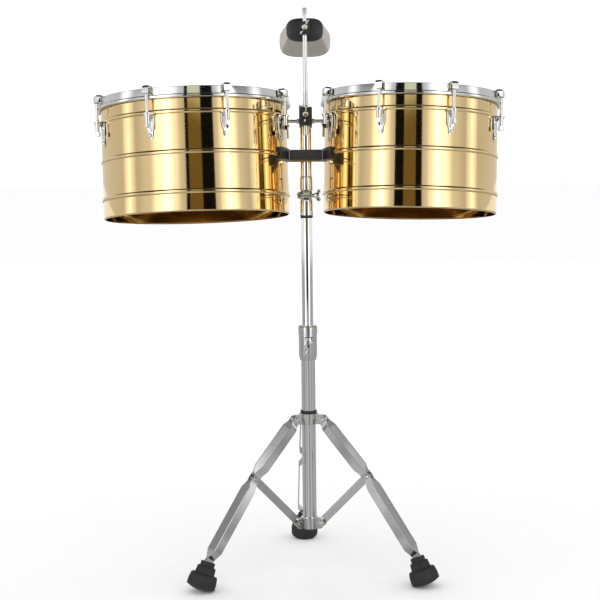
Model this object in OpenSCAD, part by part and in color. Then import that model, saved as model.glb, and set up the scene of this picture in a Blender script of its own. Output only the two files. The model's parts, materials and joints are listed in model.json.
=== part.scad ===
// Pair of timbales on a folding, double-braced tripod, with a cowbell on a rod.
// +Z is up, the floor is z = 0, the audience side is -Y and the player stands at +Y.

/* [Drums] */
// Outer radius of the large drum's shell
big_r = 188; // [175:1:195]
// Outer radius of the small drum's shell
small_r = 175; // [160:1:180]
// Height of a shell from its bottom edge to its bearing edge
shell_h = 235.5; // [225:1:250]
// Thickness of the shell's metal
shell_wall = 1.2; // [1:0.1:2]
// How far a rolled bead stands out of the shell
bead_out = 2.4; // [1.5:0.1:3]
// Clear distance from the post's axis to a shell
drum_gap = 34; // [33:0.5:38]
// Distance of the drums' centres behind the mast's axis
drum_back = 26; // [20:1:30]
// Height of a shell's bottom edge below the tilter's pivot, along the mast
drum_drop = 37.2; // [30:0.2:45]
// How much lower the large drum hangs than the small one
left_lower = 3.2; // [0:0.2:6]
// Outward lean of each drum, in degrees
droop = 1.45; // [0:0.05:2]

/* [Hoops and lugs] */
// Height of the counter hoop's top above the bearing edge
hoop_rise = 4.5; // [3:0.5:6]
// Height of the counter hoop
hoop_h = 21.5; // [20:0.5:24]
// Number of tuning hooks on a drum
hook_count = 8; // [6:1:8]
// Distance of a tuning rod's axis outside the shell
rod_out = 14; // [13:0.5:16]
// Radius of a tuning rod
rod_r = 3.15; // [2.8:0.05:3.4]
// Depth of the lugs' ledge below the hoop's top
ledge_drop = 48.7; // [47:0.1:52]
// Width of a lug at its top
lug_w = 19; // [16:1:22]

/* [Mast and crossbar] */
// Backward tilt of the drums, in degrees
kit_tilt = 8.3; // [0:0.1:12]
// Height of the tilter's pivot above the floor
pivot_z = 777; // [760:1:800]
// Radius of the mast and of the height post
post_r = 11.1; // [10.5:0.1:11.5]
// Length of the mast above the tilter's pivot
mast_len = 172; // [165:1:176]
// Height of the crossbar's centre above the pivot
bar_up = 80.5; // [76:0.5:86]
// Height of the crossbar
bar_h = 20; // [16:1:24]

/* [Cowbell] */
// Radius of the rod that carries the cowbell
bell_rod_r = 4.75; // [4.5:0.05:5]
// Length of that rod
bell_rod_len = 257; // [240:1:270]
// Length of the cowbell
bell_len = 138; // [120:1:150]
// Width of the cowbell's mouth
bell_mouth_w = 107; // [100:1:112]
// Height of the cowbell's mouth
bell_mouth_h = 66; // [60:1:70]
// Width of the cowbell's closed end
bell_end_w = 73; // [68:1:80]
// Height of the cowbell's closed end
bell_end_h = 47; // [42:1:52]

/* [Stand] */
// Outer radius of the lower tube
tube_r = 14.3; // [13.8:0.1:15]
// Height of the lower tube's bottom end above the floor
tube_z0 = 93; // [91:1:99]
// Height of the post's lower end above the floor
post_z0 = 309; // [309:1:340]
// Outer radius of the height clamp
clamp_r = 19.3; // [18.5:0.1:21]
// Turn of the tripod about the post, in degrees
tripod_turn = 2.7; // [0:0.1:6]

/* [Legs] */
// Radius of the legs' upper pivots
top_pivot_r = 32; // [31:0.5:34]
// Height of the legs' upper pivots
top_pivot_z = 321; // [315:1:327]
// Radius of the legs' middle pivots
mid_pivot_r = 132; // [126:1:138]
// Height of the legs' middle pivots
mid_pivot_z = 212; // [207:1:217]
// Radius of the braces' lower pivots
hub_pivot_r = 27; // [26.5:0.5:30]
// Height of the braces' lower pivots
hub_pivot_z = 105; // [101:1:109]
// Slope of the lower half of a leg, in degrees
leg_slope = 55; // [52:0.5:58]
// Width of a leg's strip
strip_w = 16.5; // [13:0.5:17]
// Radius of a rubber foot
foot_r = 29; // [27:0.5:31]

/* [Hidden] */

$fn = 48;
LEFT = -1;
RIGHT = 1;
SIDES = [LEFT, RIGHT];
ROUND = 144;            // facets of the large round pieces
FIT = 0.05;             // radial clearance of a running fit
GAP = 0.3;              // clearance between moving neighbours
JOIN = 0.02;            // clearance between pieces that are fastened together

// the origin is on the floor, under the middle of the whole object's box
post_x = 12.978;
post_y = -58.81;

// drums
hoop_top = shell_h + hoop_rise;
hoop_z0 = hoop_top - hoop_h;
bead_half = 4.5;
beads = [38.8, 115.7, 193.4];
edge_curl = 3;
hoop_in = 5.6;
hoop_out = 8;
collar_h = 7;
collar_out = 9.6;
ledge_z = hoop_top - ledge_drop;
ledge_t = 2.4;
lug_z1 = beads[2] - bead_half - 0.4;   // the lugs' shields end just below the top bead
lug_h = 47;
lug_t = 2.5;
lug_tip_r = 5;
lug_turn = 22.5;
screw_r = 2.4;
screw_rows = [lug_z1 - 9, lug_z1 - lug_h + 7];
nut_len = 26;
claw_w = 14;
claw_h = 18;
claw_out = 19;

// carrier
strap_t = 3;
bar_t = 5;
bar_half = 31;
saddle_w = 24;
mast_z0 = 12.5;
block_z0 = 138;
block_h = 37;
block_w = 26;
block_front = -30;
block_back = 14;
block_screw_up = 22;    // height of the wing screw in the block
block_bolt = [-9, -19];
block_bolt_r = 2.5;
bell_rod_y = -17.5;
bell_rod_z0 = 119;
rod_tip = 27;           // length of the rod's knurled upper end
rod_tip_r = 4.2;
brace_rod_r = 3.5;
brace_rod_z = 150;
bracket_out = 6.5;
bracket_h = 24;
bracket_low = 3.5;       // drop of the brackets' middle below the crossbar's
bolt_r = 3;
bolt_x = 23;            // the crossbar's bolts, to each side of the mast
HOLE = 0.1;             // radial clearance of a screw hole

// cowbell
bell_z = 334;
bell_wall = 1.8;
bell_front = bell_rod_y + bell_rod_r + 6;
bell_clamp_h = 26;
bell_clamp_y = bell_rod_y - bell_rod_r - 5;
bell_cap_t = 3;
SQUARISH = 3.2;         // exponent of the bell's rounded outline

// tilter
ear_r = 9.5;
ear_in = 6;
ear_t = 5;
pivot_bolt_r = 4;
sleeve_r = 12.6;
sleeve_top = 34;
tube_wall = 1.5;        // wall of the mast and of the height post
fork_z0 = pivot_z - 39;
post_z1 = pivot_z - 13;
tilt_clear = 0.7;         // gap between a round ear and the sleeve that turns over it

// stand
tube_in = 12.8;
tube_z1 = 489;
clamp_z0 = 442;
clamp_z1 = 513;
bush_head_r = 17;
bush_head_h = 19;
clamp_screw_x = 1;
clamp_boss_y = -26;
clamp_key_x = -10.6;
clamp_screw_z = 471;
wing_bore = 4;
collar_z0 = 310;
collar_z1 = 332;
collar_r = 19.5;
hub_z0 = 91;
hub_z1 = 114;
hub_r = 17.8;

// tripod
LEG_ANGLES = [210 + tripod_turn, 330 + tripod_turn, 90 + tripod_turn];
strip_t = 2;
pin_r = 3;
pinch_in = 5.4;         // inner face of a strip at a pivot
spread_in = 13.5;       // inner face of a strip along the open stretch
foot_in = 1.5;          // inner face of a strip inside the foot
strip_in = 24;          // length of a strip inside the foot
brace_t = 3;
brace_play = 0.6;       // clearance between a brace and what holds it on either side
brace_w = 16;
fork_t = 4.5;           // thickness of the spreader's fork plates
foot_pin_in = 14;       // depth of the pin that holds the strips in a foot
foot_pin_r = 2.5;
upper_run = mid_pivot_r - top_pivot_r;
upper_drop = top_pivot_z - mid_pivot_z;
upper_len = norm([upper_run, upper_drop]);
upper_slope = atan2(upper_drop, upper_run);
brace_run = mid_pivot_r - hub_pivot_r;
brace_rise = mid_pivot_z - hub_pivot_z;
brace_len = norm([brace_run, brace_rise]);
brace_slope = atan2(brace_rise, brace_run);
foot_reach = 240;       // from the post's axis to where a foot touches the floor
foot_tilt = 22;         // lean of a foot from upright
foot_len = 58;
dome_r = 60;            // radius of the foot's domed bottom
foot_press = 0.6;       // depth by which the dome is pressed flat on the floor
foot_top_z = dome_r - foot_press + (foot_len - dome_r) * cos(foot_tilt);
foot_start = (mid_pivot_z - foot_top_z) / sin(leg_slope);

// ---------- helpers ----------
function shell_r(side) = side < 0 ? big_r : small_r;
function drum_x(side) = side * (drum_gap + shell_r(side));
function drop(side) = drum_drop + (side < 0 ? left_lower : 0);
function arc(cx, cy, r, from, to, steps) =
  [for (i = [0:steps]) let (a = from + (to - from) * i / steps) [cx + r * cos(a), cy + r * sin(a)]];
function rounded(w, h, r) = concat(
  arc(w / 2 - r, h / 2 - r, r, 0, 90, 6), arc(r - w / 2, h / 2 - r, r, 90, 180, 6),
  arc(r - w / 2, r - h / 2, r, 180, 270, 6), arc(w / 2 - r, r - h / 2, r, 270, 360, 6));
function signed_pow(v, e) = sign(v) * pow(abs(v), e);
function squarish(w, h) = [for (a = [0:6:354])
  [w / 2 * signed_pow(cos(a), 2 / SQUARISH), h / 2 * signed_pow(sin(a), 2 / SQUARISH)]];
function reversed(v) = [for (i = [len(v) - 1:-1:0]) v[i]];
// a band of even thickness on a bent centre line, given as [along, across] points
function band(path, t) = concat([for (p = path) [p.x, p.y - t / 2]],
  [for (p = reversed(path)) [p.x, p.y + t / 2]]);

module at_post() { translate([post_x, post_y, 0]) children(); }
module in_mast() { at_post() translate([0, 0, pivot_z]) rotate([-kit_tilt, 0, 0]) children(); }
module in_drum(side) {
  in_mast() translate([drum_x(side), drum_back, -drop(side)]) rotate([0, side * droop, 0]) children();
}
// at hook i: X runs round the shell, -Y points outwards, Z is up, the origin is on the shell
module at_hook(side, i) {
  in_drum(side) rotate([0, 0, i * 360 / hook_count - side * lug_turn])
    translate([0, -shell_r(side), 0]) children();
}
module each_hook() { for (side = SIDES, i = [0:hook_count - 1]) at_hook(side, i) children(); }
// turns a profile drawn as [outwards, up] into a plate of the given width
module upright(width) {
  rotate([0, 0, -90]) rotate([90, 0, 0]) linear_extrude(width, center = true) children();
}
module ring(r_out, r_in, h) {
  difference() {
    cylinder(r = r_out, h = h);
    translate([0, 0, -1]) cylinder(r = r_in, h = h + 2);
  }
}
// a cylinder along X, centred
module pin_x(r, length) { rotate([0, 90, 0]) cylinder(r = r, h = length, center = true); }
// a cylinder along Y, centred
module pin_y(r, length) { rotate([90, 0, 0]) cylinder(r = r, h = length, center = true); }

// Wing screw along Z: the shaft points down from the origin and the wings open upwards
module wing_screw(shaft, shaft_r, span, reach) {
  wing_t = 3.4;
  hub_top = reach * 0.55;
  translate([0, 0, -shaft]) cylinder(r = shaft_r, h = shaft + 1);
  cylinder(r = 6, h = hub_top);
  translate([0, 0, hub_top - JOIN]) cylinder(r1 = 6, r2 = 4.5, h = 1.5);
  for (turn = [0, 180]) rotate([90, 0, turn]) linear_extrude(wing_t, center = true)
    polygon(concat([[2, 1], [span * 0.55, 2]],
      arc(span - reach * 0.32, reach * 0.62, reach * 0.34, -60, 130, 12), [[2, hub_top]]));
}

// ---------- drums ----------
function bead_curve(offset) = [for (z0 = beads, i = [0:14]) let (a = 180 * i / 14)
  [bead_out * pow(sin(a), 1.2) + offset, z0 - bead_half * cos(a)]];

module shell(side) {
  r = shell_r(side);
  outer = concat(arc(-edge_curl, edge_curl, edge_curl, -90, 0, 6), bead_curve(0), [[0, shell_h]]);
  inner = concat(arc(-edge_curl, edge_curl, edge_curl - shell_wall, -90, 0, 6),
    bead_curve(-shell_wall), [[-shell_wall, shell_h]]);
  difference() {
    in_drum(side) rotate_extrude($fn = ROUND)
      polygon([for (p = concat(outer, reversed(inner))) [r + p.x, p.y]]);
    for (i = [0:hook_count - 1], z = screw_rows) at_hook(side, i)
      translate([0, 0, z]) pin_y(screw_r + HOLE, 20);
  }
}
module shell_left() { color("goldenrod") shell(LEFT); }
module shell_right() { color("goldenrod") shell(RIGHT); }

module head(side) {
  r = shell_r(side);
  film = 0.4;
  top = shell_h + 0.1;
  inner = r + 0.3;
  skirt_z = hoop_z0 + 4;
  in_drum(side) rotate_extrude($fn = ROUND) polygon([[0, top], [inner, top], [inner, skirt_z],
    [inner + film, skirt_z], [inner + film, top + film], [0, top + film]]);
}
module head_left() { color("whitesmoke") head(LEFT); }
module head_right() { color("whitesmoke") head(RIGHT); }

module flesh_hoops() {
  color("silver") for (side = SIDES) in_drum(side) translate([0, 0, hoop_z0 + 1.5])
    rotate_extrude($fn = ROUND) translate([shell_r(side) + 0.8, 0]) square([4, 5]);
}

// a collar stands out below the band, and a flat rim inside it presses on the flesh hoop
module hoop(side) {
  z1 = hoop_z0 + collar_h;
  edge = 0.8;
  roll = 2;
  rim_in = 1.2;
  rim_t = 1.8;
  inside = 5.1;
  profile = concat([[inside, hoop_z0]], arc(collar_out - roll, hoop_z0 + roll, roll, -90, 0, 4),
    arc(collar_out - roll, z1 - roll - 0.2, roll, 0, 75, 4), [[hoop_out, z1]],
    arc(hoop_out - edge, hoop_top - edge, edge, 0, 90, 4),
    arc(hoop_in + edge, hoop_top - edge, edge, 90, 180, 4),
    [[hoop_in, z1 + rim_t], [rim_in, z1 + rim_t], [rim_in, z1], [inside, z1]]);
  in_drum(side) rotate_extrude($fn = ROUND)
    polygon([for (p = profile) [shell_r(side) + p.x, p.y]]);
}
module hoop_left() { color("gainsboro") hoop(LEFT); }
module hoop_right() { color("gainsboro") hoop(RIGHT); }

module lugs(side) {
  mid = lug_h / 2;
  straight = 17;          // length of the shield before it tapers
  ledge_w = 22;
  ledge_back = bead_out + 0.4;
  rib_x = 5.5;
  rib_out = 8;
  rib_low = ledge_z - 10;
  shield = concat([[-lug_w / 2, mid], [-lug_w / 2, mid - straight]],
    arc(0, lug_tip_r - mid, lug_tip_r, 200, 340, 10), [[lug_w / 2, mid - straight], [lug_w / 2, mid]]);
  rib = [[2, rib_low], [rib_out, rib_low], [rib_out, ledge_z - 0.5], [ledge_back + 0.1, ledge_z - 0.5],
    [ledge_back + 0.1, ledge_z - ledge_t - 0.8], [2, ledge_z - ledge_t - 0.8]];
  for (i = [0:hook_count - 1]) at_hook(side, i) difference() {
    union() {
      translate([0, -0.05, lug_z1 - mid]) rotate([90, 0, 0]) linear_extrude(lug_t) polygon(shield);
      translate([-ledge_w / 2, -rod_out, ledge_z - ledge_t])
        cube([ledge_w, rod_out - ledge_back, ledge_t]);
      translate([0, -rod_out, ledge_z - ledge_t]) cylinder(r = 7.5, h = ledge_t);
      for (x = [-rib_x, rib_x]) translate([x, 0, 0]) upright(2) polygon(rib);
    }
    translate([0, -rod_out, ledge_z - 10]) cylinder(r = rod_r + 0.45, h = 20);
    for (z = screw_rows) translate([0, 0, z]) pin_y(screw_r + HOLE, 20);
  }
}
module lugs_left() { color("silver") lugs(LEFT); }
module lugs_right() { color("silver") lugs(RIGHT); }

module lug_screws() {
  color("silver") each_hook() for (z = screw_rows) translate([0, 0, z]) {
    translate([0, -lug_t - 0.1, 0]) rotate([90, 0, 0]) cylinder(r1 = 3.8, r2 = 2.4, h = 2.2);
    translate([0, -lug_t - 0.2, 0]) rotate([-90, 0, 0]) cylinder(r = screw_r, h = 8);
    translate([0, shell_wall + 0.3, 0]) rotate([-90, 0, 0]) cylinder(r = 4.6, h = 3, $fn = 6);
  }
}

module tuning_hooks() {
  h = hoop_top;
  claw = concat([[3, h - 6]], arc(7, h + 1, 4, 180, 90, 5), arc(claw_out - 6, h - 1, 6, 90, 0, 6),
    arc(claw_out - 4, h - 9, 4, 0, -90, 5),
    [[hoop_out + 0.3, h - 13], [hoop_out + 0.3, h + 0.3], [hoop_in - 0.4, h + 0.3], [hoop_in - 0.4, h - 6]]);
  color("gainsboro") each_hook() {
    intersection() {
      upright(claw_w) polygon(claw);
      translate([0, 0, h - 4]) rotate([90, 0, 0])
        linear_extrude(50, center = true) polygon(rounded(claw_w - 0.02, claw_h - 0.02, 4.5));
    }
    translate([0, -rod_out, ledge_z - nut_len]) cylinder(r = rod_r, h = h - 8 - ledge_z + nut_len);
  }
}

module tuning_nuts() {
  top = ledge_z - ledge_t - 0.05;
  color("silver") each_hook() translate([0, -rod_out, top - nut_len]) difference() {
    union() {
      cylinder(r = 4.6, h = nut_len);
      cylinder(r = 5.4, h = 8, $fn = 6);
      translate([0, 0, nut_len - 3]) cylinder(r = 6.2, h = 3);
    }
    translate([0, 0, -1]) cylinder(r = rod_r + FIT, h = nut_len + 2);
  }
}

// ---------- carrier: mast, crossbar, brackets and rod block ----------
module mast_tube() {
  length = mast_len - mast_z0;
  color("silver") in_mast() translate([0, 0, mast_z0]) difference() {
    cylinder(r = post_r, h = length);
    translate([0, 0, 3]) cylinder(r = post_r - tube_wall, h = length - 6);
  }
}

// bored for the crossbar's four bolts
module bolt_holes(r) {
  for (x = [-bolt_x, bolt_x]) translate([x, 0, bar_up]) pin_y(r, 60);
}

module crossbar() {
  y1 = -post_r - 1 - strap_t - JOIN;
  color("#262626") in_mast() difference() {
    translate([0, y1 - bar_t / 2, bar_up]) rotate([90, 0, 0])
      linear_extrude(bar_t, center = true) polygon(rounded(2 * bar_half, bar_h, 1.2));
    intersection() {
      bolt_holes(bolt_r + HOLE);
      translate([-40, y1 - 2.5, 0]) cube([80, 30, 200]);
    }
  }
}

module crossbar_strap() {
  y0 = -post_r - 1 - strap_t;
  color("gainsboro") in_mast() difference() {
    translate([-bar_half, y0, bar_up - bar_h / 2 - 4]) cube([2 * bar_half, strap_t, bar_h + 3]);
    bolt_holes(bolt_r + HOLE);
  }
}

module crossbar_saddle() {
  color("silver") in_mast() difference() {
    translate([-saddle_w / 2, -post_r - 1 + JOIN, bar_up - 9]) cube([saddle_w, 2 * post_r + 5, 18]);
    cylinder(r = post_r + JOIN, h = mast_len);
  }
}

module carrier_bolts() {
  y1 = -post_r - 1 - strap_t - 1;
  color("silver") in_mast() for (x = [-bolt_x, bolt_x]) translate([x, 0, bar_up]) rotate([-90, 0, 0]) {
    translate([0, 0, y1]) cylinder(r = bolt_r, h = 15);
    translate([0, 0, -post_r + 5.1]) cylinder(r = 5, h = 4, $fn = 6);
  }
}

module shell_brackets() {
  sweep = 23;
  bead_z = beads[1];
  groove = bead_half + 0.6;
  function profile(low) = [[0.15, low], [bracket_out, low], [bracket_out, low + bracket_h],
    [0.15, low + bracket_h], [0.15, bead_z + groove], [bead_out + 0.3, bead_z + groove - 2],
    [bead_out + 0.3, bead_z - groove + 2], [0.15, bead_z - groove]];
  color("#1d1d1d") difference() {
    for (side = SIDES) {
      in_drum(side) rotate([0, 0, side > 0 ? 182 : -2 - sweep])
        rotate_extrude(angle = sweep, $fn = ROUND)
          polygon([for (p = profile(bar_up + drop(side) - bracket_low - bracket_h / 2))
            [shell_r(side) + p.x, p.y]]);
      in_mast() translate([side > 0 ? 15 : -32.2, -post_r - 0.9, bar_up - 9]) cube([17.2, 6, 18]);
    }
    in_mast() bolt_holes(bolt_r + HOLE);
  }
}

module rod_block() {
  color("#1c1c1c") in_mast() difference() {
    translate([0, (block_front + block_back) / 2, block_z0 + block_h / 2]) rotate([90, 0, 0])
      linear_extrude(block_back - block_front, center = true) polygon(rounded(block_w, block_h, 1.5));
    translate([0, 0, block_z0 - 1]) cylinder(r = post_r + JOIN, h = mast_len - block_z0 + 1.1);
    translate([0, bell_rod_y, block_z0 - 1]) cylinder(r = bell_rod_r + FIT, h = block_h + 2);
    translate([0, block_front + 4, block_z0 + block_screw_up]) pin_y(wing_bore + FIT, 12);
    translate([0, 0, brace_rod_z]) for (side = SIDES)
      translate([side * block_w / 2, 0, 0]) pin_x(brace_rod_r + JOIN, 3.2);
    translate([block_bolt.x, block_bolt.y, block_z0 + block_h - 8])
      cylinder(r = block_bolt_r + JOIN, h = 10);
  }
}

module block_bolt() {
  sunk = 7.5;
  color("gainsboro") in_mast() translate([block_bolt.x, block_bolt.y, block_z0 + block_h - sunk]) {
    cylinder(r = block_bolt_r, h = sunk + 0.5);
    translate([0, 0, sunk + 0.1]) cylinder(r = 4.2, h = 4.5, $fn = 6);
  }
}

module stabiliser_rods() {
  start = 11.6;           // inner end, in the rod block
  nut_x = 15.5;
  flange_t = 3;
  color("silver") in_mast() for (side = SIDES) {
    wall = drum_gap + shell_r(side) - sqrt(pow(shell_r(side), 2) - pow(drum_back, 2));
    reach = wall + (brace_rod_z + drop(side)) * tan(droop) - bead_out - 0.6;
    translate([side * (start + reach) / 2, 0, brace_rod_z]) pin_x(brace_rod_r, reach - start);
    translate([side * nut_x, 0, brace_rod_z]) pin_x(5.2, 4);
    translate([side * (reach - flange_t / 2), 0, brace_rod_z]) pin_x(5.5, flange_t);
  }
}

module block_wing_screw() {
  color("gainsboro") in_mast() translate([0, block_front - GAP, block_z0 + block_screw_up])
    rotate([90, 0, 0]) rotate([0, 0, 84]) wing_screw(7, wing_bore, 17, 13);
}

// ---------- cowbell ----------
module bell_rod() {
  chamfer = 1.5;
  color("gainsboro") in_mast() translate([0, bell_rod_y, bell_rod_z0]) {
    cylinder(r = bell_rod_r, h = bell_rod_len - rod_tip);
    cylinder(r = rod_tip_r, h = bell_rod_len - chamfer);
    translate([0, 0, bell_rod_len - chamfer])
      cylinder(r1 = rod_tip_r, r2 = rod_tip_r - 1.2, h = chamfer);
  }
}
module rod_collar() {
  color("silver") in_mast() translate([0, bell_rod_y, bell_rod_z0 + 3])
    ring(6.3, bell_rod_r + JOIN, 7);
}

// the bell lies along +Y: its closed end is at the front
function bell_outline(along, inset) = squarish(
  bell_end_w + (bell_mouth_w - bell_end_w) * along / bell_len - 2 * inset,
  bell_end_h + (bell_mouth_h - bell_end_h) * along / bell_len - 2 * inset);
module bell_form(inset, start, length) {
  thin = 0.1;
  hull() {
    translate([0, bell_front + start + thin, bell_z]) rotate([90, 0, 0])
      linear_extrude(thin) polygon(bell_outline(start, inset));
    translate([0, bell_front + start + length, bell_z]) rotate([90, 0, 0])
      linear_extrude(thin) polygon(bell_outline(start + length, inset));
  }
}
module cowbell_body() {
  color("#a39a8c") in_mast() difference() {
    bell_form(0, bell_cap_t, bell_len - bell_cap_t);
    bell_form(bell_wall, bell_cap_t - 1, bell_len + 2);
  }
}
module cowbell_end() {
  color("#2b2927") in_mast() difference() {
    bell_form(0, 0, bell_cap_t - JOIN);
    translate([0, bell_front, bell_z]) pin_y(bolt_r + HOLE, 20);
  }
}
module bell_clamp() {
  y1 = bell_front - JOIN;
  color("#1c1c1c") in_mast() difference() {
    union() {
      translate([0, (bell_clamp_y + y1) / 2, bell_z]) rotate([90, 0, 0])
        linear_extrude(y1 - bell_clamp_y, center = true) polygon(rounded(19, bell_clamp_h, 3));
      translate([0, y1 - JOIN, bell_z]) rotate([-90, 0, 0]) cylinder(r = bolt_r, h = 12);
      translate([0, bell_front + bell_cap_t + JOIN, bell_z]) rotate([-90, 0, 0])
        cylinder(r = 6, h = 4, $fn = 6);
    }
    translate([0, bell_rod_y, bell_z - 40]) cylinder(r = bell_rod_r + FIT, h = 80);
    translate([0, bell_clamp_y + 2, bell_z + 1]) pin_y(wing_bore - 1 + FIT, 6);
  }
}
module bell_wing_screw() {
  color("gainsboro") in_mast() translate([0, bell_clamp_y - GAP, bell_z + 1])
    rotate([90, 0, 0]) rotate([0, 0, 60]) wing_screw(4.6, wing_bore - 1, 17, 13);
}

// ---------- tilter ----------
module tilter_block() {
  color("silver") in_mast() difference() {
    union() {
      translate([0, 0, ear_r + tilt_clear]) cylinder(r = sleeve_r, h = sleeve_top - ear_r - tilt_clear);
      translate([0, 0, sleeve_top]) cylinder(r1 = sleeve_r, r2 = post_r + 0.6, h = 4);
      pin_x(ear_r - 0.3, 2 * ear_in);
      translate([-ear_in, 0.5 - ear_r, 0]) cube([2 * ear_in, 2 * ear_r - 1, ear_r + 2]);
    }
    translate([0, 0, mast_z0 - JOIN]) cylinder(r = post_r + JOIN, h = 60);
    pin_x(pivot_bolt_r + FIT, 60);
  }
}
module tilter_fork() {
  color("silver") at_post() difference() {
    union() {
      translate([0, 0, fork_z0]) cylinder(r = sleeve_r, h = pivot_z - fork_z0 - ear_r - tilt_clear);
      for (side = SIDES) translate([side * (ear_in + GAP + ear_t / 2), 0, pivot_z]) {
        pin_x(ear_r, ear_t);
        translate([-ear_t / 2, 0.5 - ear_r, -16]) cube([ear_t, 2 * ear_r - 1, 16]);
      }
    }
    translate([0, 0, fork_z0 - 1]) cylinder(r = post_r + FIT, h = post_z1 - fork_z0 + 1.2);
    translate([0, 0, pivot_z]) pin_x(pivot_bolt_r + FIT, 40);
  }
}
module tilter_bolt() {
  color("gainsboro") at_post() translate([-ear_in - GAP - ear_t, 0, pivot_z]) rotate([0, -90, 0]) {
    translate([0, 0, -11.5]) cylinder(r = pivot_bolt_r, h = 12);
    translate([0, 0, 0.1]) cylinder(r = 7.5, h = 5, $fn = 6);
    translate([0, 0, 5]) cylinder(r1 = 6, r2 = 3.5, h = 2.5);
  }
}
module tilter_ring() {
  color("#202020") at_post() translate([0, 0, fork_z0 - 6]) ring(12.4, post_r + JOIN, 5.7);
}
module tilter_wing_screw() {
  color("gainsboro") at_post() translate([ear_in + GAP + ear_t + 6, 0, pivot_z]) rotate([0, 90, 0])
    wing_screw(17, pivot_bolt_r, 12, 12);
}

// ---------- stand ----------
module height_post() {
  color("silver") at_post() translate([0, 0, post_z0]) difference() {
    cylinder(r = post_r, h = post_z1 - post_z0);
    translate([0, 0, -1]) cylinder(r = post_r - tube_wall, h = post_z1 - post_z0 - 3);
  }
}
module lower_tube() {
  color("silver") at_post() translate([0, 0, tube_z0]) ring(tube_r, tube_in, tube_z1 - tube_z0);
}
module tube_plug() {
  color("#1c1c1c") at_post() {
    translate([0, 0, tube_z0 - 3]) cylinder(r = tube_r - 0.3, h = 3 - JOIN);
    translate([0, 0, tube_z0 - 1]) cylinder(r = tube_in - JOIN, h = 12);
  }
}
module clamp_bushing() {
  color("#141414") at_post() difference() {
    union() {
      translate([0, 0, clamp_z0]) cylinder(r = tube_in - JOIN, h = tube_z1 - clamp_z0);
      translate([0, 0, tube_z1 + JOIN]) cylinder(r = bush_head_r, h = bush_head_h);
    }
    translate([0, 0, clamp_z0 - 1]) cylinder(r = post_r + FIT, h = clamp_z1 - clamp_z0);
  }
}
module height_clamp() {
  body_r = clamp_r - 0.8;
  cone_h = 10;
  band_h = 18;
  slot_up = 41;           // the dark slot above the wing screw
  color("silver") at_post() difference() {
    union() {
      translate([0, 0, clamp_z0]) cylinder(r1 = clamp_r - 3, r2 = body_r, h = cone_h);
      translate([0, 0, clamp_z0 + cone_h]) cylinder(r = body_r, h = 44);
      translate([0, 0, clamp_z1 - band_h]) cylinder(r = clamp_r, h = band_h - 2);
      translate([0, 0, clamp_z1 - 2]) cylinder(r1 = clamp_r, r2 = clamp_r - 2, h = 2);
      translate([clamp_screw_x, -20, clamp_screw_z]) pin_y(8, 12);
      translate([clamp_key_x - 0.4, -clamp_r - 1.5, clamp_z0 + 4]) cube([6, 12, 20]);
    }
    translate([0, 0, clamp_z0 - 1]) cylinder(r = tube_r + JOIN, h = tube_z1 - clamp_z0 + 1 + JOIN);
    translate([0, 0, tube_z1]) cylinder(r = bush_head_r + JOIN, h = bush_head_h + 0.2);
    translate([0, 0, clamp_z1 - 8]) cylinder(r = post_r + GAP, h = 10);
    translate([-6, -clamp_r - 1, clamp_z0 + slot_up]) cube([17, 10, 8]);
    translate([0, -clamp_r - 1, clamp_z1 - band_h - 2]) cube([1.4, 10, 30]);
    translate([clamp_screw_x, -20, clamp_screw_z]) pin_y(wing_bore + FIT, 40);
  }
}
module clamp_key() {
  color("whitesmoke") at_post() translate([clamp_key_x, -clamp_r - 3.6, clamp_z0 + 4.4])
    cube([5.2, 2, 19]);
}
module clamp_wing_screw() {
  color("gainsboro") at_post() translate([clamp_screw_x, clamp_boss_y - GAP, clamp_screw_z])
    rotate([90, 0, 0]) rotate([0, 0, 58]) wing_screw(11, wing_bore, 17, 13);
}

// ---------- tripod ----------
module at_leg(i) { at_post() rotate([0, 0, LEG_ANGLES[i]]) children(); }

module leg_collar() {
  lug_half = 5.1;
  color("silver") difference() {
    union() {
      at_post() translate([0, 0, collar_z0]) cylinder(r = collar_r, h = collar_z1 - collar_z0);
      for (i = [0:2]) at_leg(i) {
        translate([14.5, -lug_half, collar_z0 + 1])
          cube([top_pivot_r - 14.5, 2 * lug_half, collar_z1 - collar_z0 - 2]);
        translate([top_pivot_r, 0, top_pivot_z]) pin_y(9, 2 * lug_half);
      }
    }
    at_post() translate([0, 0, collar_z0 - 20]) cylinder(r = tube_r + FIT, h = 60);
    for (i = [0:2]) at_leg(i) translate([top_pivot_r, 0, top_pivot_z]) pin_y(pin_r + JOIN, 30);
  }
}
module collar_ring() {
  color("#181818") at_post() translate([0, 0, collar_z1 + JOIN]) ring(16.6, tube_r + FIT, 6);
}
// a pin with two low domed heads, along Y
module rivet(length, head) {
  pin_y(pin_r, length);
  for (s = [-1, 1]) translate([0, s * length / 2, 0]) rotate([-s * 90, 0, 0])
    translate([0, 0, -0.01]) cylinder(r1 = head, r2 = head - 1.6, h = 1.6);
}
module collar_pins() {
  outer = pinch_in + strip_t + GAP;
  color("gainsboro") for (i = [0:2]) at_leg(i) translate([top_pivot_r, 0, top_pivot_z])
    rivet(2 * outer, 5);
}

module upper_frame(i) {
  at_leg(i) translate([top_pivot_r, 0, top_pivot_z]) rotate([0, upper_slope, 0]) children();
}
module lower_frame(i) {
  at_leg(i) translate([mid_pivot_r, 0, mid_pivot_z]) rotate([0, leg_slope, 0]) children();
}

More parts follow.
